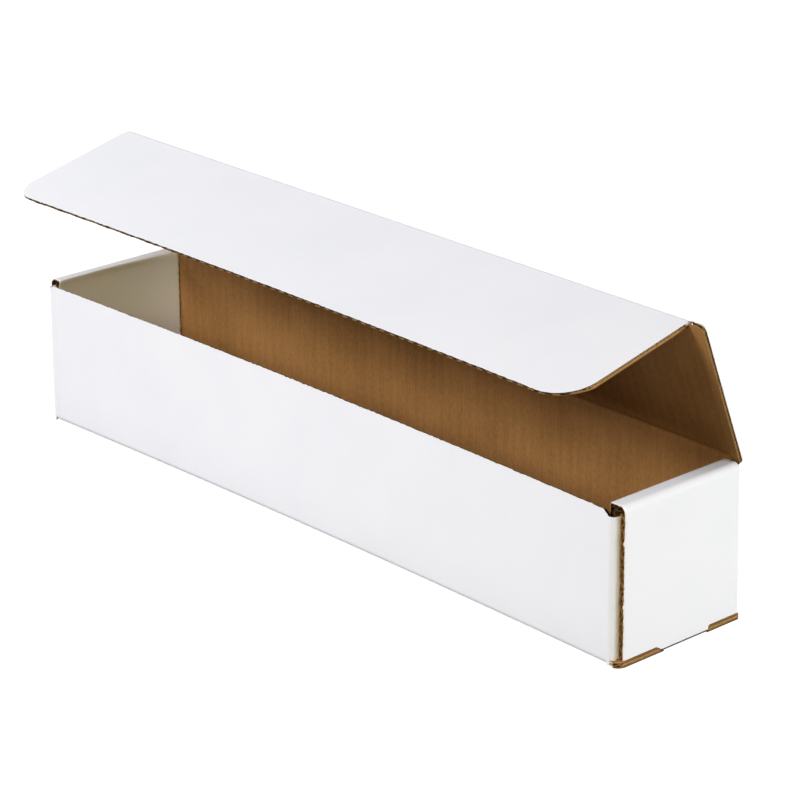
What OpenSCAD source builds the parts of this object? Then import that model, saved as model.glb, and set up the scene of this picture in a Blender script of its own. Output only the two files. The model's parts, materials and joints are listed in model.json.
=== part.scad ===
// Corrugated mailer folded from one die-cut sheet: a long tray with roll-over ends,
// a lid hinged on the back wall and a tuck flap along the lid's front edge.
// X runs along the box, Y from front to back and Z up. The origin is the middle of
// the underside. The lid stands open, as it does before the box is filled.

/* [Inside] */
// Length of the space inside
inside_l = 406.4; // [250:0.2:600]
// Depth of the space inside, front to back
inside_w = 76.2; // [64:0.2:150]
// Height of the space inside
inside_h = 76.2; // [50:0.2:150]

/* [Board] */
// Thickness of the board
board_t = 3.2; // [2.4:0.1:4.2]
// Inside radius of a pressed fold
fold_r = 0.4; // [0.2:0.1:1]
// Room between layers that lie on each other
layer_gap = 0.25; // [0.2:0.05:0.6]

/* [Front and back walls] */
// How far the front wall's top lies below the ends' tops
front_drop = 2.6; // [1:0.1:5]
// How far the dust flaps' tops lie below the ends' tops
dust_drop = 5.2; // [5.2:0.1:12]
// Length of the slope from the front wall's top down to a dust flap
front_slope = 3; // [1:0.1:8]
// Room between a dust flap and the floor
dust_lift = 1.2; // [0.4:0.1:4]
// Room between the front and back dust flaps in one end
dust_space = 15; // [8:0.5:30]
// Slant cut off a dust flap's free corners
dust_slant = 9; // [2:0.5:12]

/* [Roll-over ends] */
// Room between the end strip's edges and the long walls
end_side_gap = 0.5; // [0.3:0.1:3]
// Width of the fold between the end and the floor
end_fold_w = 30; // [16:0.5:40]
// How far the fold lies behind the middle of the end
end_fold_shift = 2.5; // [-4:0.5:4]
// How much wider the fold's tongue gets up to the lugs' tops, each side
end_fold_flare = 3.5; // [0.5:0.1:6]
// Corner radius of the floor's lugs
lug_r = 5; // [2:0.1:5.5]
// How far the lugs stay behind the long walls' faces
lug_inset = 1.1; // [0.5:0.1:2]
// Width of a lock tab
tab_w = 15; // [8:0.5:20]
// Distance between the two lock tabs of an end
tab_spread = 40; // [24:0.5:44]
// How far a lock tab's tip stays above the underside
tab_recess = 0.4; // [0:0.1:1.5]

/* [Lid and tuck flap] */
// How far the lid's sides stay inside the ends' faces
lid_side_gap = 1.5; // [0.5:0.1:2.5]
// How far the lid's sides reach back past its fold line
lid_heel = 1.2; // [0:0.1:1.3]
// Corner radius of the lid's sides
lid_corner_r = 3; // [1:0.1:3.5]
// Room between the closed tuck flap and the front wall
flap_wall_gap = 1.6; // [0.6:0.1:4]
// Room between the closed tuck flap and the floor
flap_floor_gap = 1; // [0.5:0.1:10]
// Room between the tuck flap's sides and the ends
flap_side_gap = 0.5; // [0.4:0.1:6]
// Corner radius of the tuck flap's free edge
flap_corner_r = 19; // [6:0.5:28]

/* [Pose] */
// How far the lid stands open, from closed
lid_open = 67.7; // [20:0.1:170]
// How far the tuck flap is folded in, from straight
flap_fold = 80.4; // [5:0.1:115]

/* [Hidden] */
$fn = 64;
white_liner = "#F1F1F4";
// Furthest that the tuck flap folds in, and what a cut reaches past the board
flap_fold_max = 120;
cut = 1;

// Outside of the folded box
bend_r = fold_r + board_t;
roll_t = 3 * board_t + 2 * layer_gap;
body_l = inside_l + 2 * roll_t;
body_w = inside_w + 2 * board_t;
end_x = body_l / 2;
front_y = -body_w / 2;
end_top = board_t + inside_h;
front_h = end_top - front_drop;

// Dust flaps, between the two layers of an end
dust_x = end_x - board_t - layer_gap;
wall_end_x = dust_x - bend_r;
dust_l = (body_w - dust_space) / 2;
dust_top = end_top - dust_drop;
dust_bottom = board_t + dust_lift;
dust_h = dust_top - dust_bottom;

// End strip: outer panel, roll-over and inner panel
end_w = inside_w - 2 * end_side_gap;
inner_x = end_x - roll_t;
lug_top = board_t + layer_gap;

// Fold lines of the lid and the tuck flap, in the middle of the board
hinge_y = body_w / 2 - board_t / 2;
hinge_z = end_top + layer_gap + board_t / 2;
nose_r = board_t / 2;
lid_d = inside_w - flap_wall_gap;
lid_l = body_l - 2 * lid_side_gap;
lid_step = nose_r + layer_gap;
flap_l = inside_l - 2 * flap_side_gap;
flap_d = hinge_z - board_t - flap_floor_gap;

// Draws a section of Y and Z along X, centred
module along_x(length) {
    translate([-length / 2, 0, 0]) rotate([90, 0, 90]) linear_extrude(length) children();
}

// Draws a section of X and Z along Y, centred
module along_y(width) {
    translate([0, width / 2, 0]) rotate([90, 0, 0]) linear_extrude(width) children();
}

// Section of a square fold, in the corner between +X and +Y
module bend() {
    intersection() {
        difference() {
            circle(bend_r);
            circle(fold_r);
        }
        square(bend_r);
    }
}

// Corner of an outline cut off at 45 degrees
module corner_cut(size) {
    rotate(45) square(size * sqrt(2), center = true);
}

// Section of the long walls with the folds up from the floor
module long_wall_section() {
    floor_w = body_w - 2 * bend_r;
    translate([-floor_w / 2, 0]) square([floor_w, board_t]);
    translate([-floor_w / 2, bend_r]) rotate(180) bend();
    translate([floor_w / 2, bend_r]) rotate(270) bend();
    translate([front_y, bend_r]) square([board_t, front_h - bend_r]);
    translate([-front_y - board_t, bend_r]) square([board_t, end_top - bend_r]);
}

// What is cut from the front wall's top at one end, down to the dust flap's top
module front_corner_cut() {
    slope_x = wall_end_x - fold_r;
    polygon([[slope_x - front_slope, front_h + cut], [slope_x - front_slope, front_h],
        [slope_x, dust_top], [wall_end_x + cut, dust_top], [wall_end_x + cut, front_h + cut]]);
}

// Front wall, floor and back wall; the front wall's corners slope down to its dust flaps
module long_walls() {
    difference() {
        along_x(2 * wall_end_x) long_wall_section();
        for (side = [0, 1])
            mirror([side, 0, 0]) translate([0, front_y + board_t / 2, 0])
                along_y(board_t + 2 * cut) front_corner_cut();
    }
}

// Plan of the floor beyond the long walls: two lugs with rounded corners
module lug_plan() {
    lug_w = body_w - 2 * lug_inset;
    translate([wall_end_x, -lug_w / 2]) square([end_x - wall_end_x - lug_r, lug_w]);
    translate([wall_end_x, -lug_w / 2 + lug_r]) square([end_x - wall_end_x, lug_w - 2 * lug_r]);
    for (side = [-1, 1])
        translate([end_x - lug_r, side * (lug_w / 2 - lug_r)]) circle(lug_r);
}

// Outline across the end of the tongue that folds up between the lugs
module tongue_outline(room) {
    low_w = end_fold_w / 2 + room;
    high_w = low_w + end_fold_flare;
    polygon([[-low_w, -cut], [low_w, -cut], [low_w, 0], [high_w, lug_top],
        [high_w, bend_r + cut], [-high_w, bend_r + cut], [-high_w, lug_top], [-low_w, 0]]);
}

// The tongue's reach along X, from the start of its fold to past the end's face
module tongue_space(room) {
    translate([end_x - bend_r, 0, 0]) rotate([90, 0, 90])
        linear_extrude(bend_r + cut) translate([end_fold_shift, 0]) tongue_outline(room);
}

// Slots in the floor at one end, where the lock tabs drop in
module tab_slots() {
    slot_l = board_t + 2 * layer_gap;
    slot_w = tab_w + 2 * layer_gap;
    for (side = [-1, 1])
        translate([inner_x + board_t / 2, side * tab_spread / 2, board_t / 2])
            cube([slot_l, slot_w, board_t + 2 * cut], center = true);
}

// Floor with its lugs and slots, and the two long walls that fold up from it
module floor_and_walls() {
    difference() {
        union() {
            long_walls();
            for (side = [0, 1])
                mirror([side, 0, 0]) linear_extrude(board_t) lug_plan();
        }
        for (side = [0, 1])
            mirror([side, 0, 0]) {
                tongue_space(layer_gap);
                tab_slots();
            }
    }
}

// Section of an end from the lugs' tops, up the outside, over and down the inside
module end_section() {
    panel_h = end_top - bend_r;
    translate([end_x - board_t, lug_top]) square([board_t, panel_h - lug_top]);
    translate([end_x - bend_r, panel_h]) bend();
    translate([inner_x + bend_r, end_top - board_t]) square([roll_t - 2 * bend_r, board_t]);
    translate([inner_x + bend_r, panel_h]) rotate(90) bend();
    translate([inner_x, lug_top]) square([board_t, panel_h - lug_top]);
}

// One end: the folded strip, the tongue that joins it to the floor and its lock tabs
module end_wall() {
    along_y(end_w) end_section();
    intersection() {
        along_y(end_w) {
            translate([end_x - bend_r, bend_r]) rotate(270) bend();
            translate([end_x - board_t, bend_r]) square([board_t, cut]);
        }
        tongue_space(0);
    }
    for (side = [-1, 1])
        translate([inner_x, side * tab_spread / 2 - tab_w / 2, tab_recess])
            cube([board_t, tab_w, lug_top + cut - tab_recess]);
}

// Dust flap of the front wall at one end, with its upright fold
module dust_flap() {
    reach = dust_l - bend_r;
    difference() {
        translate([0, 0, dust_bottom]) linear_extrude(dust_h) {
            translate([wall_end_x, front_y + bend_r]) rotate(270) bend();
            translate([dust_x - board_t, front_y + bend_r]) square([board_t, reach]);
        }
        for (z = [dust_bottom, dust_top])
            translate([dust_x - board_t - cut, front_y + dust_l, z])
                rotate([90, 0, 90]) linear_extrude(board_t + 2 * cut) corner_cut(dust_slant);
    }
}

// The folded box without its lid: one sheet that the lock tabs hold together
module tray() {
    color(white_liner) union() {
        floor_and_walls();
        for (side = [0, 1])
            mirror([side, 0, 0]) {
                end_wall();
                dust_flap();
                mirror([0, 1, 0]) dust_flap();
            }
    }
}

// Round edge along a fold line
module fold_nose(length) {
    rotate([0, 90, 0]) cylinder(r = nose_r, h = length, center = true);
}

// Plan of the lid's side at +X, which passes the ends of both folds
module lid_side_plan() {
    side_x = lid_l / 2;
    heel_x = wall_end_x + layer_gap;
    shoulder_x = flap_l / 2 + layer_gap;
    shoulder_d = lid_d + nose_r - layer_gap;
    side_d = shoulder_d + lid_heel;
    translate([heel_x, -shoulder_d]) square([side_x - heel_x - lid_corner_r, side_d]);
    translate([heel_x, lid_corner_r - shoulder_d])
        square([side_x - heel_x, side_d - 2 * lid_corner_r]);
    for (y = [lid_heel - lid_corner_r, lid_corner_r - shoulder_d])
        translate([side_x - lid_corner_r, y]) circle(lid_corner_r);
    translate([shoulder_x, -shoulder_d]) square([heel_x + cut - shoulder_x, shoulder_d / 2]);
}

// Plan of the lid from the hinge line, towards -Y, with a narrow slit at each end of a fold
module lid_plan() {
    translate([-wall_end_x, -lid_d / 2]) square([2 * wall_end_x, lid_d / 2]);
    translate([-flap_l / 2, -lid_d]) square([flap_l, lid_d / 2]);
    translate([-wall_end_x - cut, lid_step - lid_d])
        square([2 * (wall_end_x + cut), lid_d - 2 * lid_step]);
    for (side = [0, 1])
        mirror([side, 0]) lid_side_plan();
}

// Turns the closed lid open about its fold line
module lid_place() {
    translate([0, hinge_y, hinge_z]) rotate([-lid_open, 0, 0]) children();
}

// Lid panel with a round edge along each of its two folds
module lid() {
    color(white_liner) lid_place() union() {
        translate([0, 0, -nose_r]) linear_extrude(board_t) lid_plan();
        fold_nose(2 * wall_end_x);
        translate([0, -lid_d, 0]) fold_nose(flap_l);
    }
}

// Plan of the tuck flap from the lid's front fold, with a rounded free edge
module flap_plan() {
    translate([-flap_l / 2, -flap_d + flap_corner_r]) square([flap_l, flap_d - flap_corner_r]);
    translate([-flap_l / 2 + flap_corner_r, -flap_d])
        square([flap_l - 2 * flap_corner_r, flap_corner_r]);
    for (side = [-1, 1])
        translate([side * (flap_l / 2 - flap_corner_r), -flap_d + flap_corner_r])
            circle(flap_corner_r);
}

// What the lid takes up at the flap's end of the fold, at the flap's furthest fold
module fold_room() {
    rotate([0, 90, 0]) cylinder(r = nose_r + layer_gap, h = lid_l, center = true);
    rotate([-flap_fold_max, 0, 0])
        translate([-lid_l / 2, 0, -nose_r - layer_gap])
            cube([lid_l, 3 * board_t, board_t + 2 * layer_gap]);
}

// Tuck flap, folded in from the lid's plane about the lid's front fold
module tuck_flap() {
    color(white_liner) lid_place() translate([0, -lid_d, 0]) rotate([flap_fold, 0, 0])
        difference() {
            translate([0, 0, -nose_r]) linear_extrude(board_t) flap_plan();
            fold_room();
        }
}

tray();
lid();
tuck_flap();
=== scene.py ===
"""A long slim mailer of corrugated board, white outside and kraft inside, with its lid standing open."""

import json
import math

import bmesh
import bpy
import numpy as np
from mathutils import Euler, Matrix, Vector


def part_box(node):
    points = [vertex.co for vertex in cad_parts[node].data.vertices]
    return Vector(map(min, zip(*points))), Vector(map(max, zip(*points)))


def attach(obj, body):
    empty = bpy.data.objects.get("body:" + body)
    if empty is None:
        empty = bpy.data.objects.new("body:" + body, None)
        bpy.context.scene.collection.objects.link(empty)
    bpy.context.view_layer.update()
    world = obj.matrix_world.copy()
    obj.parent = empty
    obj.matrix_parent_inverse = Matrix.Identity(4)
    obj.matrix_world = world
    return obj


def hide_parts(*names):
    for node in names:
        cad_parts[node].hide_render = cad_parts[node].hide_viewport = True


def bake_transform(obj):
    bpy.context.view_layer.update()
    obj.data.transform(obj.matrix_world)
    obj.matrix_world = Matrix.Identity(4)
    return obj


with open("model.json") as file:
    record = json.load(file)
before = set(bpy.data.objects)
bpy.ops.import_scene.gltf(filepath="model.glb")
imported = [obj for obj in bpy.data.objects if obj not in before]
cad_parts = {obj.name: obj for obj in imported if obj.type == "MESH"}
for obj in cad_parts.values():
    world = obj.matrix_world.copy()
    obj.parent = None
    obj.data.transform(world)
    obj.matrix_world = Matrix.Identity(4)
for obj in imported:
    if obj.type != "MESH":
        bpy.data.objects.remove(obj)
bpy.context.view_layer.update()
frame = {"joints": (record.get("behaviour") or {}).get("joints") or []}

# Floor with the front and back walls: the middle of the sheet. It is corrugated board, a fluted paper
# between a white paper outside and a kraft paper inside. A die cuts and creases the sheet flat, and the
# two walls fold up along their creases, so the flutes stand upright in them.
mm = 0.001
body_x, body_y, end_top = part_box("tray")[1]
board = 3.2 * mm
liner = 0.32 * mm
fluting = 0.24 * mm
flute_pitch = 6.5 * mm
flute_step = flute_pitch / 6
liner_sag = 0.05 * mm
layer_gap = 0.25 * mm
fold_inside = 0.4 * mm
fold_outside = fold_inside + board
fold_mid = fold_inside + board / 2
fold_way = fold_mid * math.pi / 2

joints = {joint["name"]: joint for joint in frame["joints"]}
hinge = joints["lid_fold"]["pos_m"]
crease = joints["tuck_flap_fold"]["pos_m"]
lid_d = math.hypot(crease[1] - hinge[1], crease[2] - hinge[2])
lid_heading = math.degrees(math.atan2(crease[2] - hinge[2], crease[1] - hinge[1]))
lid_turn = lid_heading - 90
lid_fold_way = 3 * mm
lid_fold_reach = lid_fold_way / math.radians(lid_turn) * math.tan(math.radians(lid_turn / 2))
flap_turn = -joints["tuck_flap_fold"]["range_deg"][0]
flap_fold_way = 1.6 * mm
flap_fold_reach = flap_fold_way / math.radians(flap_turn) * math.tan(math.radians(flap_turn / 2))
flap_d = hinge[2] - board

front_drop = 2.6 * mm
front_top = end_top - front_drop
dust_drop = 5.2 * mm
dust_top = end_top - dust_drop
dust_x = body_x - board - layer_gap
wall_x = dust_x - fold_outside
front_slope_end = wall_x - fold_inside
front_slope = 3 * mm


def folded_line(start, heading, runs):
    """The middle of the board through its folds, where a run is its length and its turn in degrees.
    Gives a function from the way along the line to the points there and the directions out of the sheet."""
    lengths = np.array([run[0] for run in runs])
    turns = np.radians([run[1] for run in runs])
    marks = np.concatenate([[0], np.cumsum(lengths)[:-1]])
    headings = math.radians(heading) + np.concatenate([[0], np.cumsum(turns)[:-1]])
    curls = turns / lengths

    def chord(angle, curl, way):
        length = way * np.sinc(curl * way / (2 * math.pi))
        middle = angle + curl * way / 2
        return length[..., None] * np.stack([np.cos(middle), np.sin(middle)], -1)

    ends = np.cumsum(chord(headings, curls, lengths), 0)
    corners = np.array(start) + np.concatenate([[[0, 0]], ends[:-1]])

    def at(way):
        run = np.clip(np.searchsorted(marks, way, side="right") - 1, 0, len(runs) - 1)
        past = way - marks[run]
        points = corners[run] + chord(headings[run], curls[run], past)
        angle = headings[run] + curls[run] * past
        return points, np.stack([np.sin(angle), -np.cos(angle)], -1)

    return at


sheet_runs = [
    (front_top - fold_outside, 0),
    (fold_way, 90),
    (2 * (body_y - fold_outside), 0),
    (fold_way, 90),
    (hinge[2] - lid_fold_reach - fold_outside, 0),
    (lid_fold_way, lid_turn),
    (lid_d - lid_fold_reach - flap_fold_reach, 0),
    (flap_fold_way, flap_turn),
    (flap_d - flap_fold_reach, 0),
]
sheet_line = folded_line((board / 2 - body_y, front_top), -90, sheet_runs)
sheet_marks = np.cumsum([run[0] for run in sheet_runs])
front_fold, floor_front, floor_back, back_wall, lid_fold = sheet_marks[:5]
lid_start, flap_fold, flap_start, flap_end = sheet_marks[5:]
floor_mid = (floor_front + floor_back) / 2
seam = 2 * mm
lid_twist = 2 * mm
lid_back = np.array([math.sin(math.radians(lid_heading)), -math.cos(math.radians(lid_heading))])


def on_sheet(across, along, out):
    """Places points of the flat sheet, and how far they lie out of its middle, on the folded one.
    The lid has warped, and its front edge leans back a little more towards its right end."""
    points, outward = sheet_line(along)
    folded = points + out[..., None] * outward
    lid_share = np.interp(along, [lid_start, flap_fold, flap_start, flap_end], [0, 1, 1, 0])
    warp = lid_twist * lid_share * (1 + across / body_x) / 2
    folded = folded + warp[..., None] * lid_back
    return np.stack([across, folded[..., 0], folded[..., 1]], -1)


front_bow = 3.4 * mm
floor_rise = 2 * mm


def on_walls(across, along, out):
    """The sheet with its long front wall bowed a little inwards and the floor's front edge a little up."""
    placed = on_sheet(across, along, out)
    bow = 1 - np.clip(across / wall_x, -1, 1) ** 2
    frontness = np.clip((body_y - placed[..., 1]) / (2 * body_y), 0, 1)
    height = np.clip(placed[..., 2] / front_top, 0, 1)
    placed[..., 1] += front_bow * bow * frontness * height
    placed[..., 2] += floor_rise * bow * frontness * (1 - height)
    return placed


def on_floor(across, along, out):
    """The floor's own plane, for the lugs that pass the ends of the walls."""
    return np.stack([across, along - floor_mid, board / 2 - out], -1)


def steps(*stops):
    """Evenly spaced values through stops given as the first value and then pairs of a count and a value."""
    values = [np.array([stops[0]])]
    last = stops[0]
    for count, stop in zip(stops[1::2], stops[2::2]):
        values.append(np.linspace(last, stop, count + 1)[1:])
        last = stop
    return np.concatenate(values)


def flute_columns(start, end, step=flute_step):
    """Places across the flutes, close enough to draw their waves."""
    return np.linspace(start, end, max(1, math.ceil((end - start) / step)) + 1)


edge_rows = np.array([0, 0.3, 0.7, 1.3, 2.2]) * mm


def between(start, end, count):
    """Rows along the flutes from one outline to the other, closer together near both."""
    start = np.asarray(start)[..., None] + edge_rows
    end = np.asarray(end)[..., None] - edge_rows[::-1]
    share = np.linspace(0, 1, count + 1)[1:-1]
    middle = start[..., -1:] + (end[..., :1] - start[..., -1:]) * share
    return np.concatenate([start, middle, end], -1)


# The third skin is painted shade, near black, for the flute hollows and for dark lines along some edges.
WHITE, KRAFT, PAINTED_SHADE, CUT = range(4)
chance = np.random.default_rng(5)
cut_reach = 1 * mm
cut_fray = 0.1 * mm
flute_wall = 0.9 * mm
chip_length = 0.8 * mm
chip_width = 0.9 * mm


def add_paper(papers, across, along, out, thickness, place, lean, cut, skins):
    """Adds one paper of the board as a closed thin sheet. Its skins are those of its two faces and of its
    rim, where a pair takes turns with the flutes."""
    columns, rows = along.shape
    along = along.copy()
    for side, row in (("start", 0), ("end", -1)):
        if side in cut:
            along[:, row] += chance.normal(0, cut_fray, columns)
    across = np.repeat(across[:, None], rows, 1)
    count = columns * rows
    first = sum(len(points) for points in papers["points"])
    for level in (out + thickness / 2, out - thickness / 2):
        leaning = along + lean * level / board
        papers["points"].append(place(across, leaning, level).reshape(-1, 3))
        papers["blank"].append(np.stack([across, along], -1).reshape(-1, 2))
    grid = np.arange(first, first + count).reshape(columns, rows)
    face = np.stack([grid[:-1, :-1], grid[1:, :-1], grid[1:, 1:], grid[:-1, 1:]], -1).reshape(-1, 4)
    ring = np.concatenate([grid[:, 0], grid[-1, 1:], grid[-2::-1, -1], grid[0, -2:0:-1]])
    after = np.roll(ring, -1)
    rim = np.stack([ring, ring + count, after + count, after], -1)
    # Where a flute opens at the rim, a pair of rim skins gives its first one: painted shade in the open
    # flute's mouth.
    open_flute = np.sin(2 * math.pi * across.ravel()[ring - first] / flute_pitch) > 0
    rim_skins = np.where(open_flute, *skins[2]) if np.ndim(skins[2]) else skins[2]
    for quads, skin in zip((face, face[:, ::-1] + count, rim), (skins[0], skins[1], rim_skins)):
        papers["faces"].append(quads)
        papers["skins"].append(np.broadcast_to(skin, len(quads)))


def add_board(
    papers, across, along, place, cut="", crush=(0.5, 0), closed="", pressed=1, lean=0, chips=(),
    face=WHITE, rims=(CUT, CUT, CUT), hollow=PAINTED_SHADE, reach=cut_reach,
):
    """Adds a patch of board: across runs over the flutes and along lies on them. cut names its raw edges,
    where the die crushes the outside and the inside paper in over its reach, closed those where a flute's
    side shows, and pressed is how far a crease leaves the inside paper out. The patch leans over its
    thickness, and chips of the white paper jut out of its first edge. face, rims and hollow are the skins
    of its outside, of its papers' edges and of its flutes."""
    along = along + 0 * across[:, None]
    way = across[:, None] + 0 * along
    near = np.zeros_like(along)
    edges = {
        "start": along - along[:, :1],
        "end": along[:, -1:] - along,
        "left": way - across[0],
        "right": across[-1] - way,
    }
    for side in cut.split():
        crushed = reach if side in ("start", "end") else cut_reach
        near = np.maximum(near, np.clip(1 - edges[side] / crushed, 0, 1) ** 1.5)
    uneven = 0.94 + 0.06 * np.sin(way / (2.9 * mm) + 2 * np.sin(along / (3.1 * mm)))
    dent = near * uneven * (board - 2 * liner)
    wave = np.sin(2 * math.pi * way / flute_pitch)
    for side in closed.split():
        wave = np.where(edges[side] < flute_wall, -np.cos(math.pi * edges[side] / flute_wall), wave)
    outer = (board - liner) / 2 - crush[0] * dent - liner_sag * (1 - wave) / 2
    inner = -(board - liner) / 2 * pressed + crush[1] * dent + liner_sag * (1 + wave) / 2
    room = np.maximum(outer - inner - liner - fluting - liner_sag, 0)
    middle = (outer + inner) / 2 + wave * room / 2
    lean = lean + 0 * along
    chipped = along.copy()
    for chip in chips:
        chipped[:, 0] -= chip_length * np.exp(-(((across - chip) / chip_width) ** 2))
    # The fluting paper and the faces towards the flutes take the hollow skin, by default the painted shade.
    flute = CUT if closed else hollow
    add_paper(papers, across, chipped, outer, liner, place, lean, cut, (face, hollow, rims[0]))
    add_paper(papers, across, along, middle, fluting, place, lean, cut, (flute, flute, rims[1]))
    add_paper(papers, across, along, inner, liner, place, lean, cut, (hollow, KRAFT, rims[2]))


def new_papers():
    return {"points": [], "blank": [], "faces": [], "skins": []}


def paper_material(name, colour, roughness):
    """A matt paper, with the flat sheet's own coordinates in millimetres for its pattern."""
    material = bpy.data.materials.new(name)
    material.use_nodes = True
    nodes = material.node_tree.nodes
    shader = nodes["Principled BSDF"]
    shader.inputs["Base Color"].default_value = (*colour, 1)
    shader.inputs["Roughness"].default_value = roughness
    shader.inputs["Specular IOR Level"].default_value = 0.25
    place = nodes.new("ShaderNodeUVMap")
    place.uv_map = "blank"
    scaled = nodes.new("ShaderNodeVectorMath")
    scaled.operation = "SCALE"
    scaled.inputs["Scale"].default_value = 1 / mm
    material.node_tree.links.new(place.outputs["UV"], scaled.inputs[0])
    return material, scaled.outputs["Vector"]


def paper_noise(material, place, stretch, detail=3):
    """Noise over the sheet, stretch millimetres long across and along the flutes."""
    nodes, links = material.node_tree.nodes, material.node_tree.links
    mapping = nodes.new("ShaderNodeMapping")
    mapping.inputs["Scale"].default_value = (1 / stretch[0], 1 / stretch[1], 1)
    noise = nodes.new("ShaderNodeTexNoise")
    noise.inputs["Scale"].default_value = 1
    noise.inputs["Detail"].default_value = detail
    links.new(place, mapping.inputs["Vector"])
    links.new(mapping.outputs["Vector"], noise.inputs["Vector"])
    return noise.outputs["Fac"]


def flute_lines(material, place):
    """A wave over the sheet, highest along the lines where the flutes are glued to the paper."""
    nodes, links = material.node_tree.nodes, material.node_tree.links
    parts = nodes.new("ShaderNodeSeparateXYZ")
    turn = nodes.new("ShaderNodeMath")
    turn.operation = "MULTIPLY"
    turn.inputs[1].default_value = -2 * math.pi * mm / flute_pitch
    wave = nodes.new("ShaderNodeMath")
    wave.operation = "SINE"
    links.new(place, parts.inputs[0])
    links.new(parts.outputs["X"], turn.inputs[0])
    links.new(turn.outputs[0], wave.inputs[0])
    return wave.outputs[0]


def weigh(material, *weighted):
    """The sum of patterns times their weights."""
    nodes, links = material.node_tree.nodes, material.node_tree.links
    total = None
    for pattern, weight in weighted:
        term = nodes.new("ShaderNodeMath")
        term.operation = "MULTIPLY_ADD"
        term.inputs[1].default_value = weight
        term.inputs[2].default_value = 0
        links.new(pattern, term.inputs[0])
        if total is not None:
            links.new(total, term.inputs[2])
        total = term.outputs[0]
    return total


def tint(material, pattern, low, high, colours):
    """Colours the paper through the pattern's values from low to high."""
    nodes, links = material.node_tree.nodes, material.node_tree.links
    ramp = nodes.new("ShaderNodeValToRGB")
    spots = ramp.color_ramp.elements
    while len(spots) < len(colours):
        spots.new(0.5)
    for spot, share, colour in zip(spots, np.linspace(low, high, len(colours)), colours):
        spot.position = share
        spot.color = (*colour, 1)
    links.new(pattern, ramp.inputs["Fac"])
    links.new(ramp.outputs["Color"], nodes["Principled BSDF"].inputs["Base Color"])


def emboss(material, pattern, depth):
    """Raises the paper by depth where the pattern is high."""
    nodes, links = material.node_tree.nodes, material.node_tree.links
    bump = nodes.new("ShaderNodeBump")
    bump.inputs["Distance"].default_value = depth
    links.new(pattern, bump.inputs["Height"])
    links.new(bump.outputs["Normal"], nodes["Principled BSDF"].inputs["Normal"])


white_paper, white_place = paper_material("white_liner", (0.87, 0.87, 0.89), 0.55)
white_cloud = paper_noise(white_paper, white_place, (45, 60))
white_fibre = paper_noise(white_paper, white_place, (1.6, 0.7), 5)
white_tone = weigh(white_paper, (white_cloud, 0.7), (white_fibre, 0.3))
tint(white_paper, white_tone, 0.3, 0.7, [(0.84, 0.848, 0.9), (0.863, 0.87, 0.92), (0.88, 0.884, 0.93)])
white_lines = flute_lines(white_paper, white_place)
emboss(white_paper, weigh(white_paper, (white_fibre, 1), (white_lines, 0.15)), 0.03 * mm)

kraft_paper, kraft_place = paper_material("kraft_liner", (0.43, 0.23, 0.09), 0.75)
kraft_cloud = paper_noise(kraft_paper, kraft_place, (30, 40))
kraft_streak = paper_noise(kraft_paper, kraft_place, (1.4, 26), 4)
kraft_fleck = paper_noise(kraft_paper, kraft_place, (1.2, 2.4), 6)
kraft_lines = flute_lines(kraft_paper, kraft_place)
kraft_grain = [(kraft_cloud, 0.4), (kraft_streak, 0.22), (kraft_fleck, 0.38), (kraft_lines, -0.02)]
kraft_tone = weigh(kraft_paper, *kraft_grain)
kraft_browns = [(0.205, 0.097, 0.027), (0.322, 0.153, 0.045), (0.415, 0.21, 0.072)]
tint(kraft_paper, kraft_tone, 0.28, 0.72, kraft_browns)
emboss(kraft_paper, weigh(kraft_paper, (kraft_fleck, 1), (kraft_lines, 0.25)), 0.08 * mm)

# The fluted paper is coloured near black, far darker than its own tan: painted shade of the deep flute
# hollows. The same skin paints the dark rims, lines and contact shadow elsewhere.
shade_paper, shade_place = paper_material("fluted_paper_painted_shade", (0.06, 0.033, 0.013), 0.9)
shade_fleck = paper_noise(shade_paper, shade_place, (0.9, 2), 5)
tint(shade_paper, shade_fleck, 0.3, 0.7, [(0.04, 0.022, 0.008), (0.06, 0.033, 0.013), (0.1, 0.055, 0.022)])
emboss(shade_paper, shade_fleck, 0.1 * mm)

cut_paper, cut_place = paper_material("cut_edge", (0.4, 0.225, 0.078), 0.85)
cut_fleck = paper_noise(cut_paper, cut_place, (0.8, 1.2), 5)
tint(cut_paper, cut_fleck, 0.3, 0.7, [(0.24, 0.13, 0.042), (0.4, 0.225, 0.078), (0.54, 0.32, 0.125)])
emboss(cut_paper, cut_fleck, 0.1 * mm)


def board_piece(name, papers):
    """Makes one mesh of the papers, with the flat sheet's coordinates and the papers' materials."""
    points = np.concatenate(papers["points"])
    blank = np.concatenate(papers["blank"])
    faces = np.concatenate(papers["faces"])
    mesh = bpy.data.meshes.new(name)
    mesh.from_pydata(points.tolist(), [], faces.tolist())
    mesh.polygons.foreach_set("material_index", np.concatenate(papers["skins"]))
    corners = np.empty(len(mesh.loops), np.int32)
    mesh.loops.foreach_get("vertex_index", corners)
    mesh.uv_layers.new(name="blank").data.foreach_set("uv", blank[corners].astype(np.float32).ravel())
    solid = bmesh.new()
    solid.from_mesh(mesh)
    bmesh.ops.recalc_face_normals(solid, faces=solid.faces)
    solid.to_mesh(mesh)
    solid.free()
    mesh.polygons.foreach_set("use_smooth", np.ones(len(mesh.polygons), bool))
    mesh.set_sharp_from_angle(angle=math.radians(40))
    for paper in (white_paper, kraft_paper, shade_paper, cut_paper):
        mesh.materials.append(paper)
    piece = bpy.data.objects.new(name, mesh)
    bpy.context.scene.collection.objects.link(piece)
    return piece


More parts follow.
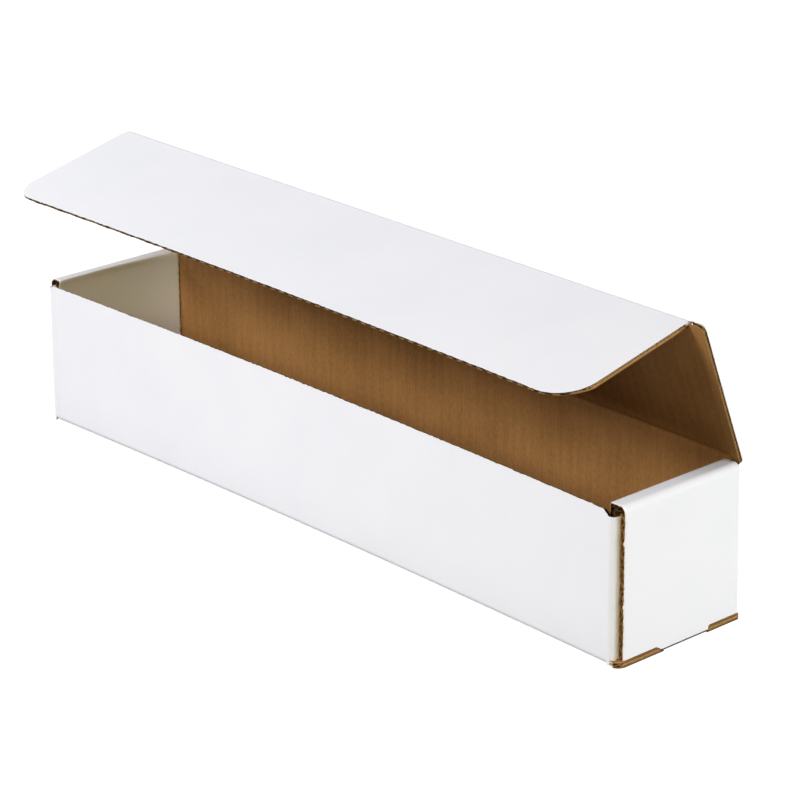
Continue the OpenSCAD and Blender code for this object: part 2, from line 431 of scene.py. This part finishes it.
lug_radius = {"front": 5 * mm, "back": 1.5 * mm}
lug_inset = {
    "left": {"front": 2.4 * mm, "back": 1.1 * mm},
    "right": {"front": 0.3 * mm, "back": 1.1 * mm},
}
tongue_low = {"front": 10 * mm, "back": 18 * mm}
tongue_high = {"front": 16 * mm, "back": 19.3 * mm}
roll = 3 * board + 2 * layer_gap
inner_x = body_x - roll
slot_start = inner_x - layer_gap
slot_end = inner_x + board + layer_gap
tab_y = 20 * mm
tab_w = 15 * mm
slot_near = tab_y - tab_w / 2 - layer_gap
slot_far = tab_y + tab_w / 2 + layer_gap
slope_drop = {"left": 1 * mm, "right": front_top - dust_top}
front_bevel = 1.5 * mm


def front_edge(across, rows):
    """The rows of the front wall, drawn down at its ends where its top slopes to the dust flaps."""
    past = np.clip((np.abs(across) - front_slope_end + front_slope) / front_slope, 0, 1)
    drop = front_bevel / 2 + np.where(across < 0, slope_drop["left"], slope_drop["right"]) * past
    return rows + drop[:, None] * np.clip(1 - rows / front_fold, 0, 1)


def round_corner(across, corner, radius):
    """How far an outline draws back at a rounded corner whose end is at corner."""
    past = np.clip(across - corner + radius, 0, radius)
    return radius - np.sqrt(radius**2 - past**2)


floor_papers = new_papers()
# At the front wall's top edge, the fluting's and the kraft paper's rims are painted shade, dark for the
# flute hollows there.
front_cut = {"crush": (0, 0.3), "rims": (WHITE, PAINTED_SHADE, PAINTED_SHADE)}
front_rows = np.concatenate([edge_rows, steps(edge_rows[-1], 4, front_fold, 6, floor_front)[1:]])
back_rows = steps(floor_back, 6, back_wall, 4, lid_fold - seam)
whole_rows = np.concatenate([front_rows, steps(floor_front, 4, floor_back)[1:], back_rows[1:]])
middle = flute_columns(-slot_start, slot_start)
front_lean = -front_bevel * np.clip(1 - whole_rows / front_fold, 0, 1) ** 4
middle_rows = front_edge(middle, whole_rows)
add_board(floor_papers, middle, middle_rows, on_walls, "start", lean=front_lean, **front_cut)
for end_name, side in (("left", -1), ("right", 1)):

    def on_side_walls(across, along, out):
        return on_walls(side * across, along, out)

    def on_side_floor(across, along, out):
        return on_floor(side * across, along, out)

    beside = flute_columns(slot_start, wall_x, flute_step / 3)
    front_part = np.append(front_rows, floor_mid - slot_far)
    back_part = np.insert(back_rows, 0, floor_mid + slot_far)
    side_rows = front_edge(side * beside, front_part)
    side_lean = -front_bevel * np.clip(1 - front_part / front_fold, 0, 1) ** 4
    add_board(floor_papers, beside, side_rows, on_side_walls, "start", lean=side_lean, **front_cut)
    add_board(floor_papers, beside, back_part, on_side_walls)
    slot_columns = flute_columns(slot_start, slot_end)
    slot_rows = steps(floor_mid - slot_near, 4, floor_mid + slot_near)
    add_board(floor_papers, slot_columns, slot_rows, on_side_floor)
    past_wall = flute_columns(wall_x, slot_end, flute_step / 3)
    past_slot = flute_columns(slot_end, body_x - fold_outside, flute_step / 3)
    lug = flute_columns(body_x - fold_outside, body_x, flute_step / 4)
    for wall_name, facing in (("front", -1), ("back", 1)):

        def on_lug(across, along, out):
            return on_side_floor(across, floor_mid + facing * (along - floor_mid), out)

        def lug_tip(across):
            rounding = round_corner(across, body_x, lug_radius[wall_name])
            return floor_mid + body_y - lug_inset[end_name][wall_name] - rounding

        low, high = tongue_low[wall_name], tongue_high[wall_name]
        past_wall_rows = between(floor_mid + slot_far + 0 * past_wall, lug_tip(past_wall), 3)
        add_board(floor_papers, past_wall, past_wall_rows, on_lug, "end", hollow=CUT)
        past_slot_rows = between(floor_mid + 0 * past_slot, lug_tip(past_slot), 4)
        add_board(floor_papers, past_slot, past_slot_rows, on_lug, "end", hollow=CUT)
        lug_rows = between(floor_mid + (low + high) / 2 + layer_gap + 0 * lug, lug_tip(lug), 4)
        lug_lean = (low - high) * np.linspace(1, 0, lug_rows.shape[1]) ** 4
        # The lug's outside and inside paper rims are painted shade: a painted contact shadow along its
        # bottom and a painted dark line along its top.
        lug_cut = {"crush": (0, 0.25), "closed": "right", "rims": (PAINTED_SHADE, CUT, PAINTED_SHADE), "hollow": CUT}
        add_board(floor_papers, lug, lug_rows, on_lug, "start end right", lean=lug_lean, **lug_cut)
floor_and_walls = board_piece("floor_and_walls", floor_papers)
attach(floor_and_walls, "tray")
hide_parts("tray")

# Dust flaps: a tongue at each end of the front and back walls, of the same sheet. Each folds round the
# corner and stands between the two layers of the end, with its free corners cut slanting.
dust_lift = 0.5 * mm
dust_low = board + dust_lift
fold_low = 0.5 * mm
dust_slant = 9 * mm
dust_crush = {"left": 0.85, "right": 0.3}
# The right dust flaps' rims and flute hollows are painted shade; the left ones take the white skin.
dust_edge = {"left": WHITE, "right": PAINTED_SHADE}
dust_space = 15 * mm
dust_reach = body_y - dust_space / 2 - fold_outside
dust_end = fold_way + dust_reach
end_side_gap = 0.5 * mm
strip_y = body_y - board - end_side_gap
outside_lean = {"right": 0, "left": 3.1 * mm}
outside_twist = {"right": 0, "left": 2.5 * mm}


def end_lean(end_name, along, height):
    """How far an end leans inwards at a height, a little more towards its back."""
    backness = np.clip((along + strip_y) / (2 * strip_y), 0, 1)
    return (outside_lean[end_name] + outside_twist[end_name] * backness) * (height / end_top) ** 2


dust_line = folded_line((wall_x, board / 2 - body_y), 0, [(fold_way, 90), (dust_reach, 0)])
for end_name, side in (("right", 1), ("left", -1)):
    for wall_name, facing in (("front", 1), ("back", -1)):

        def on_dust_flap(across, along, out):
            points, outward = dust_line(across - wall_x)
            folded = points + out[..., None] * outward
            past_fold = np.clip((across - wall_x) / fold_way, 0, 1)
            lean = past_fold * end_lean(end_name, facing * folded[..., 1], along)
            return np.stack([side * (folded[..., 0] - lean), facing * folded[..., 1], along], -1)

        dust_columns = wall_x + steps(0, 8, fold_way, 24, dust_end - dust_slant, 12, dust_end)
        dust_way = dust_columns - wall_x
        slant = np.clip(dust_way - dust_end + dust_slant, 0, dust_slant)
        dust_papers = new_papers()
        wall_top = front_top - slope_drop[end_name] if wall_name == "front" else dust_top
        bottom = np.interp(dust_way, [0, fold_way / 2, fold_way], [fold_low, 2 * fold_low, dust_low])
        dust_rows = between(bottom + slant, wall_top - slant - front_bevel / 2, 4)
        dust_lean = front_bevel * np.clip(dust_rows / wall_top, 0, 1) ** 6
        edge = dust_edge[end_name]
        dust_cut = {"cut": "start end right", "crush": (0, dust_crush[end_name]), "lean": dust_lean}
        dust_skins = {"rims": (WHITE, edge, edge), "hollow": edge}
        add_board(dust_papers, dust_columns, dust_rows, on_dust_flap, **dust_cut, **dust_skins)
        dust_flap = board_piece(f"dust_flap_{wall_name}_{end_name}", dust_papers)
        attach(dust_flap, "tray")
        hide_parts("tray")

# Roll-over ends: a strip of the sheet past each end of the floor. It folds up between the floor's lugs,
# rolls over the dust flaps and comes down inside, where two tabs drop into slots and lock it.
lug_top = board + layer_gap
strip_start = body_x - fold_outside
tongue_end = fold_way
inside_splay = {"right": 0, "left": 7 * mm}
front_shift = {"right": 0, "left": 2.4 * mm}
back_shift = 1.2 * mm
chip_heights = {"right": (26.8 * mm, 58.1 * mm), "left": ()}
tab_recess = 0.4 * mm
# Share of the tongue's fold, from the floor up, that is painted as contact shadow.
contact_shadow_share = 0.65
top_seam = 0.3 * mm
shift_end, shift_run = 0.97, 0.1
crease_sharpness = 6
splay_low, splay_high = 4 * mm, 26 * mm
strip_runs = [
    (fold_way, 90),
    (end_top - 2 * fold_outside, 0),
    (fold_way, 90),
    (roll - 2 * fold_outside, 0),
    (fold_way, 90),
    (end_top - fold_outside - tab_recess, 0),
]
strip_line = folded_line((strip_start, board / 2), 0, strip_runs)
panel_end, roll_start, roll_end, inside_start, tab_end = np.cumsum([run[0] for run in strip_runs])[1:]
inside_end = tab_end - lug_top + tab_recess
sharp_folds = [
    (0, tongue_end, (strip_start, fold_outside)),
    (roll_end, inside_start, (inner_x + fold_outside, end_top - fold_outside)),
]
for end_name, side in (("right", 1), ("left", -1)):

    def on_end(across, along, out):
        points, outward = strip_line(across - strip_start)
        folded = points + out[..., None] * outward
        for begin, finish, centre in sharp_folds:
            spoke = folded - np.array(centre)
            sharper = np.linalg.norm(spoke, axis=-1) / np.linalg.norm(spoke, crease_sharpness, axis=-1)
            there = (across - strip_start >= begin) & (across - strip_start < finish)
            folded = folded + np.where(there, sharper - 1, 0)[..., None] * spoke
        rolled = np.clip((across - strip_start - roll_start) / (inside_start - roll_start), 0, 1)
        raised = np.clip((folded[..., 1] - splay_low) / (splay_high - splay_low), 0, 1)
        backness = np.clip((along + strip_y) / (2 * strip_y), 0, 1)
        splay = inside_splay[end_name] * backness**3 * rolled * raised
        splay = splay + (1 - rolled) * end_lean(end_name, along, folded[..., 1])
        return np.stack([side * (folded[..., 0] - splay), along, folded[..., 1]], -1)

    end_papers = new_papers()
    # The lower part of the tongue's fold, where it meets the floor, takes the painted shade skin: a painted
    # contact shadow.
    contact_shadow_end = contact_shadow_share * tongue_end
    for low, high, face in ((0, contact_shadow_end, PAINTED_SHADE), (contact_shadow_end, tongue_end, WHITE)):
        tongue = steps(low, 5, high)
        rise = (tongue / tongue_end) ** 2
        front_side = -tongue_low["front"] - (tongue_high["front"] - tongue_low["front"]) * rise
        back_side = tongue_low["back"] + (tongue_high["back"] - tongue_low["back"]) * rise
        add_board(end_papers, strip_start + tongue, between(front_side, back_side, 3), on_end, face=face)
    panel_stop = panel_end - top_seam
    panel = steps(tongue_end, 96, panel_stop)
    panel_share = (panel - tongue_end) / (panel_stop - tongue_end)
    panel_front = front_shift[end_name] * np.clip((shift_end - panel_share) / shift_run, 0, 1) - strip_y
    panel_rows = between(panel_front, strip_y + back_shift * (1 - panel_share), 10)
    panel_chips = [strip_start + tongue_end + height for height in chip_heights[end_name]]
    panel_cut = {"crush": (0.12, 0), "hollow": CUT, "chips": panel_chips}
    add_board(end_papers, strip_start + panel, panel_rows, on_end, "start end", **panel_cut)
    rolled_over = steps(
        panel_stop, 1, panel_end, 8, roll_start, 6, roll_end, 8, inside_start, 96, inside_end
    )
    rolled_rows = between(-strip_y + 0 * rolled_over, strip_y + 0 * rolled_over, 10)
    # The roll-over's raw edges have their fluting and kraft paper rims painted shade, dark for the flute
    # hollows.
    rolled_cut = {"crush": (0.12, 0), "rims": (CUT, PAINTED_SHADE, PAINTED_SHADE)}
    add_board(end_papers, strip_start + rolled_over, rolled_rows, on_end, "start end", **rolled_cut)
    tab = strip_start + steps(inside_end, 6, tab_end)
    for tab_mid in (-tab_y, tab_y):
        add_board(end_papers, tab, steps(tab_mid - tab_w / 2, 4, tab_mid + tab_w / 2), on_end)
    roll_over_end = board_piece(f"roll_over_end_{end_name}", end_papers)
    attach(roll_over_end, "tray")
    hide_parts("tray")

# Lid: the sheet goes on over the back wall's top crease as the lid panel. Its two sides are cut edges
# that lie along the flutes, with rounded corners beside both of its creases.
lid_side_gap = 1.5 * mm
lid_x = body_x - lid_side_gap
lid_radius = 3 * mm
flap_side_gap = 0.5 * mm
flap_x = inner_x - flap_side_gap
heel_reach = 4 * mm
lid_heel = lid_start - heel_reach - lid_fold_reach
shoulder_x = flap_x + layer_gap
shoulder_end = lid_start + lid_d - lid_fold_reach + board / 2 - layer_gap
shoulder_drop = {"left": 6 * mm, "right": 0}
lid_papers = new_papers()
lid_columns = flute_columns(-shoulder_x, shoulder_x)
lid_rows = steps(lid_start + seam, 8, flap_fold - seam)
lid_along = np.array([math.cos(math.radians(lid_heading)), math.sin(math.radians(lid_heading))])
add_board(lid_papers, lid_columns, lid_rows, on_sheet)
for side_name, side in (("left", -1), ("right", 1)):

    def on_lid_side(across, along, out):
        level = np.clip(along, lid_start, flap_fold)
        placed = on_sheet(side * across, level, out)
        placed[..., 1:] += (along - level)[..., None] * lid_along
        return placed

    shoulder_top = shoulder_end - shoulder_drop[side_name]
    shoulder = flute_columns(shoulder_x, wall_x, flute_step / 2)
    shoulder_start = lid_start + seam + 0 * shoulder
    shoulder_rows = between(shoulder_start, shoulder_top + 0 * shoulder, 4)
    add_board(lid_papers, shoulder, shoulder_rows, on_lid_side, "end")
    margin = flute_columns(wall_x, lid_x, flute_step / 5)
    corner = round_corner(margin, lid_x, lid_radius)
    margin_rows = between(lid_heel + corner, shoulder_top - corner, 4)
    add_board(lid_papers, margin, margin_rows, on_lid_side, "start end right")
lid_panel = board_piece("lid_panel", lid_papers)
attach(lid_panel, "lid")
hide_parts("lid")

# Lid crease: the pressed line where the back wall turns into the lid. The rule has pushed the kraft
# paper into the board there, and the white paper bends round the outside.
crease_width = 1.6 * mm
crease_press = 0.6


def pressed_line(rows, middle):
    """How far the inside paper stands out beside a crease whose middle is given."""
    return 1 - crease_press * np.exp(-(((rows - middle) / crease_width) ** 2))


lid_crease_papers = new_papers()
lid_crease_columns = flute_columns(-wall_x, wall_x)
lid_crease_rows = steps(lid_fold - seam, 4, lid_fold, 6, lid_start, 4, lid_start + seam)
lid_crease_press = pressed_line(lid_crease_rows, (lid_fold + lid_start) / 2)
lid_crease_cut = {"cut": "left right", "pressed": lid_crease_press}
add_board(lid_crease_papers, lid_crease_columns, lid_crease_rows, on_sheet, **lid_crease_cut)
lid_crease = board_piece("lid_crease", lid_crease_papers)
bend_ends = np.array([lid_fold - seam / 2, lid_start + seam / 2])
bend_from, bend_to = on_sheet(np.zeros(2), bend_ends, np.zeros(2))
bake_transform(lid_crease)

# Tuck flap: the last panel of the sheet, along the lid's front edge. Its free edge is cut across the
# flutes, so their ends show, and its corners are rounded to find their way into the box.
left_radius, right_radius = 14.5 * mm, 19 * mm
flap_lift = 2 * mm
flap_reach = 4.5 * mm


def on_flap(across, along, out):
    """The sheet's last panel, which curls up a little towards the middle of its free edge."""
    share = np.clip((along - flap_start) / (flap_end - flap_start), 0, 1)
    lift = flap_lift * share**1.5 * (1 - (across / flap_x) ** 2)
    return on_sheet(across, along, out + lift)


def flap_outline(columns):
    """The rows of the flap out to its rounded free edge, with one where the crushed edge begins."""
    rounding = round_corner(-columns, flap_x, left_radius) + round_corner(columns, flap_x, right_radius)
    rows = between(flap_start + seam + 0 * columns, flap_end - rounding, 4)
    return np.insert(rows, -len(edge_rows), rows[:, -1] - flap_reach, axis=1)


flap_papers = new_papers()
# The flap's free edge is painted shade in the open flute mouths and along the outside paper's rim, and its
# sides along the outside paper's rim: dark dashes and lines of painted shade.
flap_cut = {"crush": (0, 0.78), "rims": (PAINTED_SHADE, (PAINTED_SHADE, CUT), (PAINTED_SHADE, CUT)), "reach": flap_reach}
side_cut = {"crush": (0, 0.6), "rims": (PAINTED_SHADE, CUT, CUT), "reach": flap_reach}
flap_side = flap_x - cut_reach
left_corner = -flute_columns(flap_x - left_radius, flap_side, flute_step / 2)[::-1]
flap_middle = flute_columns(left_radius - flap_x, flap_x - right_radius)
right_corner = flute_columns(flap_x - right_radius, flap_side, flute_step / 2)
flap_columns = np.concatenate([left_corner, flap_middle[1:-1], right_corner])
add_board(flap_papers, flap_columns, flap_outline(flap_columns), on_flap, "end", **flap_cut)
flap_strip = flute_columns(flap_side, flap_x, cut_reach / 6)
for side, strip in (("right", flap_strip), ("left", -flap_strip[::-1])):
    add_board(flap_papers, strip, flap_outline(strip), on_flap, "end " + side, closed=side, **side_cut)
tuck_flap_panel = board_piece("tuck_flap_panel", flap_papers)
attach(tuck_flap_panel, "tuck_flap")
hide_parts("tuck_flap")

# Tuck flap crease: the pressed line where the lid turns into the tuck flap, of the same sheet. The rule
# pushes the kraft paper in there, as it does along the lid's own crease.
flap_crease_papers = new_papers()
flap_crease_columns = flute_columns(-flap_x, flap_x)
flap_crease_rows = steps(flap_fold - seam, 4, flap_fold, 10, flap_start, 4, flap_start + seam)
flap_crease_press = pressed_line(flap_crease_rows, (flap_fold + flap_start) / 2)
flap_crease_cut = {"cut": "left right", "pressed": flap_crease_press}
add_board(flap_crease_papers, flap_crease_columns, flap_crease_rows, on_sheet, **flap_crease_cut)
tuck_flap_crease = board_piece("tuck_flap_crease", flap_crease_papers)
bend_ends = np.array([flap_fold - seam / 2, flap_start + seam / 2])
bend_from, bend_to = on_sheet(np.zeros(2), bend_ends, np.zeros(2))
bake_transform(tuck_flap_crease)

# Studio: a sheet of white card under the box that runs into a white surround. Square softboxes stand
# above it, in front of it and beside it.
floor_half = 4
floor_level = -0.2 * mm
floor_corners = [(-1, -1), (1, -1), (1, 1), (-1, 1)]
floor_points = [(x * floor_half, y * floor_half, floor_level) for x, y in floor_corners]
floor_mesh = bpy.data.meshes.new("studio_floor")
floor_mesh.from_pydata(floor_points, [], [(0, 1, 2, 3)])
studio_floor = bpy.data.objects.new("studio_floor", floor_mesh)
bpy.context.scene.collection.objects.link(studio_floor)


def seen_directly(tree):
    """One for rays from the camera or by way of a mirror or glass, and nought for light on other things."""
    rays = tree.nodes.new("ShaderNodeLightPath")
    total = rays.outputs["Is Camera Ray"]
    for ray in ("Is Glossy Ray", "Is Transmission Ray"):
        larger = tree.nodes.new("ShaderNodeMath")
        larger.operation = "MAXIMUM"
        tree.links.new(total, larger.inputs[0])
        tree.links.new(rays.outputs[ray], larger.inputs[1])
        total = larger.outputs[0]
    return total


floor_glow = 0.94
floor_material = bpy.data.materials.new("studio_floor")
floor_material.use_nodes = True
floor_tree = floor_material.node_tree
floor_shader = floor_tree.nodes["Principled BSDF"]
floor_shader.inputs["Base Color"].default_value = (0.25, 0.25, 0.25, 1)
floor_shader.inputs["Roughness"].default_value = 0.9
floor_shader.inputs["Emission Color"].default_value = (1, 1, 1, 1)
floor_seen = floor_tree.nodes.new("ShaderNodeMath")
floor_seen.operation = "MULTIPLY"
floor_seen.inputs[1].default_value = floor_glow
floor_tree.links.new(seen_directly(floor_tree), floor_seen.inputs[0])
floor_tree.links.new(floor_seen.outputs[0], floor_shader.inputs["Emission Strength"])
floor_mesh.materials.append(floor_material)

surround_light = 0.003
world = bpy.data.worlds.new("studio")
world.use_nodes = True
bpy.context.scene.world = world
world_tree = world.node_tree
dim = world_tree.nodes["Background"]
dim.inputs["Color"].default_value = (1, 1, 1, 1)
dim.inputs["Strength"].default_value = surround_light
bright = world_tree.nodes.new("ShaderNodeBackground")
bright.inputs["Color"].default_value = (1, 1, 1, 1)
world_mix = world_tree.nodes.new("ShaderNodeMixShader")
world_tree.links.new(seen_directly(world_tree), world_mix.inputs["Fac"])
world_tree.links.new(dim.outputs["Background"], world_mix.inputs[1])
world_tree.links.new(bright.outputs["Background"], world_mix.inputs[2])
world_tree.links.new(world_mix.outputs["Shader"], world_tree.nodes["World Output"].inputs["Surface"])
lamp_distance = 2.2


def soft_lamp(name, azimuth, elevation, size, power, colour=(1, 1, 1)):
    """A square softbox that faces the middle of the box; azimuth 0 is in front and 90 at the right."""
    lamp = bpy.data.lights.new(name, "AREA")
    lamp.shape = "SQUARE"
    lamp.size = size
    lamp.energy = power
    lamp.color = colour
    holder = bpy.data.objects.new(name, lamp)
    turn, rise = math.radians(azimuth), math.radians(elevation)
    away = np.array([math.sin(turn) * math.cos(rise), -math.cos(turn) * math.cos(rise), math.sin(rise)])
    holder.location = away * lamp_distance
    holder.rotation_euler = (math.radians(90 - elevation), 0, turn)
    bpy.context.scene.collection.objects.link(holder)


soft_lamp("key_lamp", -8, 34, 0.55, 35)
soft_lamp("side_lamp", 118, 13, 0.9, 32.5, (0.87, 0.915, 1))
soft_lamp("left_lamp", -58, 31, 0.7, 12)
soft_lamp("top_lamp", -20, 78, 1.2, 7.5)
soft_lamp("right_lamp", 45, 33, 0.6, 5, (1, 0.88, 0.66))
soft_lamp("low_lamp", 86, 8, 0.2, 9, (1, 0.9, 0.48))

# Camera: a long lens that looks down on the box from its front right, as in the photograph. It is turned
# a little about its own line of sight.
view_azimuth, view_elevation, view_roll = 47.836, 21.542, -0.464
camera_data = bpy.data.cameras.new("camera")
camera_data.sensor_width = 36
camera_data.lens = 158.21
camera = bpy.data.objects.new("camera", camera_data)
camera.location = (1.21312, -1.07838, 0.70028)
camera.rotation_mode = "QUATERNION"
aim = Euler((math.radians(90 - view_elevation), 0, math.radians(view_azimuth)))
tilt = Euler((0, 0, math.radians(view_roll)))
camera.rotation_quaternion = aim.to_quaternion() @ tilt.to_quaternion()
bpy.context.scene.collection.objects.link(camera)
bpy.context.scene.camera = camera
bpy.context.scene.view_settings.view_transform = "Standard"
